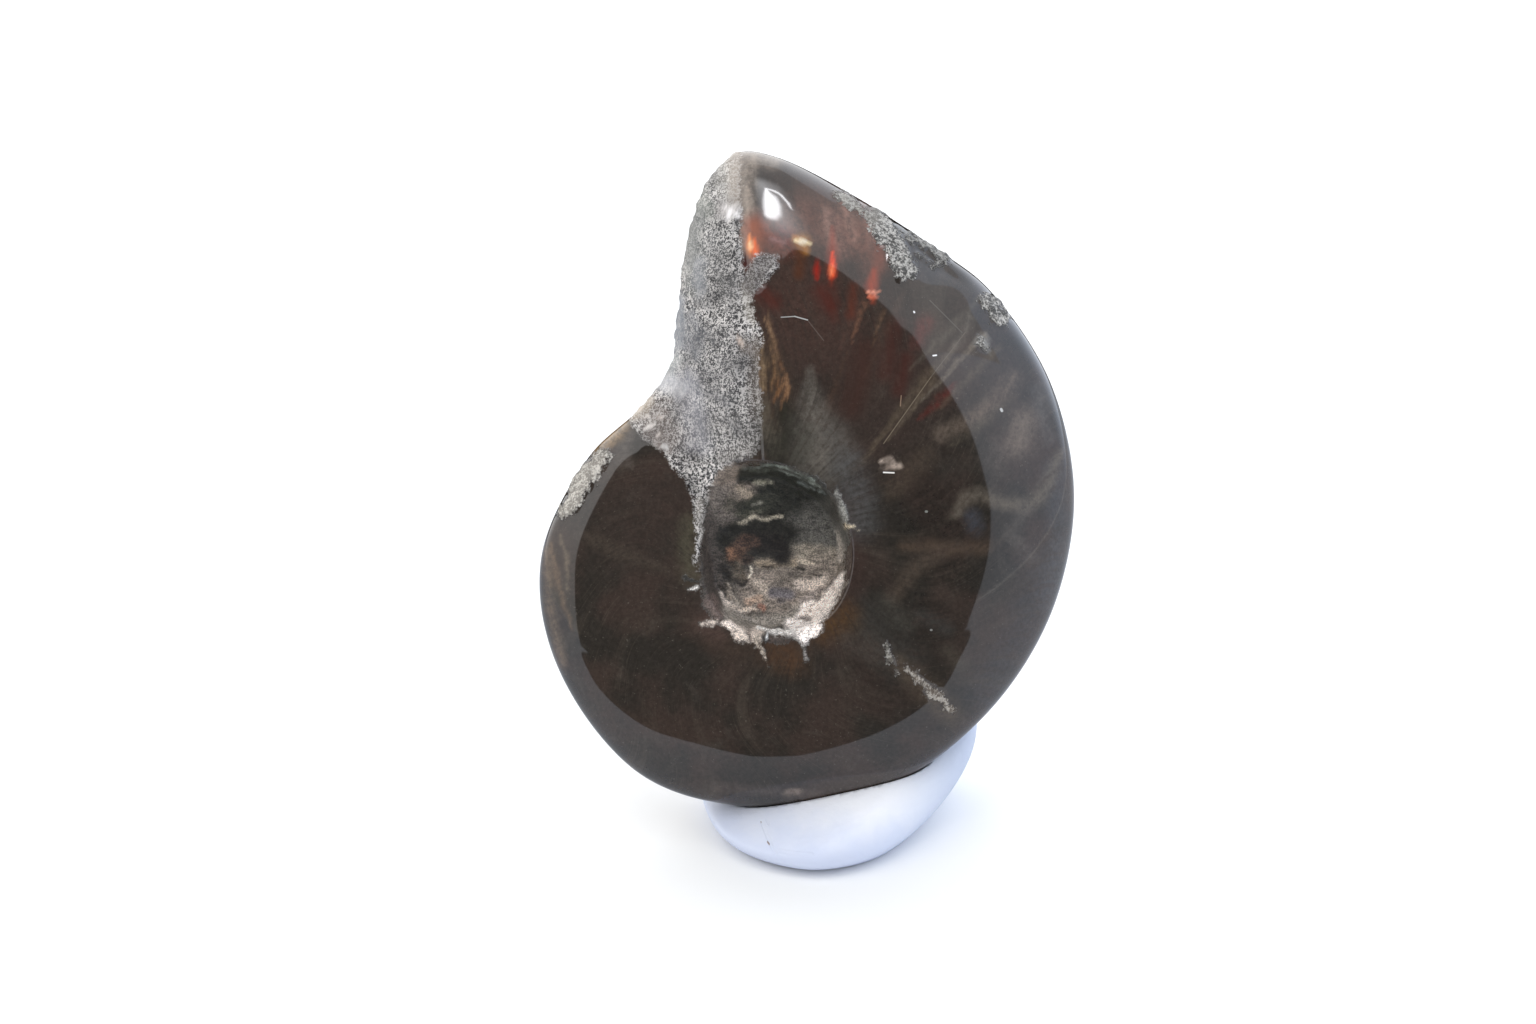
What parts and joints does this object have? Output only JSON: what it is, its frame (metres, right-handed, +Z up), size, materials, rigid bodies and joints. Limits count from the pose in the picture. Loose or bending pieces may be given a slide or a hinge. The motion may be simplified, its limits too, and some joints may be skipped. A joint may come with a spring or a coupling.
{
  "type": "opalescent ammonite fossil",
  "caption": "Polished ammonite fossil with a glossy dark brown shell and grey stone in its mouth and umbilicus, leaning back in a wad of white putty.",
  "frame": {"origin": "middle of the whole object's footprint box, on the surface that it stands on", "axes": "+Z up, through the coil's height; -Y out of the front flank; +X to the right seen from the front"},
  "size_m": [0.0668, 0.042, 0.0815],
  "materials": {
    "fossil_shell": "mirror-polished dark brown shell with red and gold flashes, over grey salt-and-pepper stone",
    "putty": "smooth bluish white putty with a soft sheen"
  },
  "bodies": {
    "root": {"ammonite": "fossil_shell", "putty_rest": "putty"}
  },
  "joints": []
}
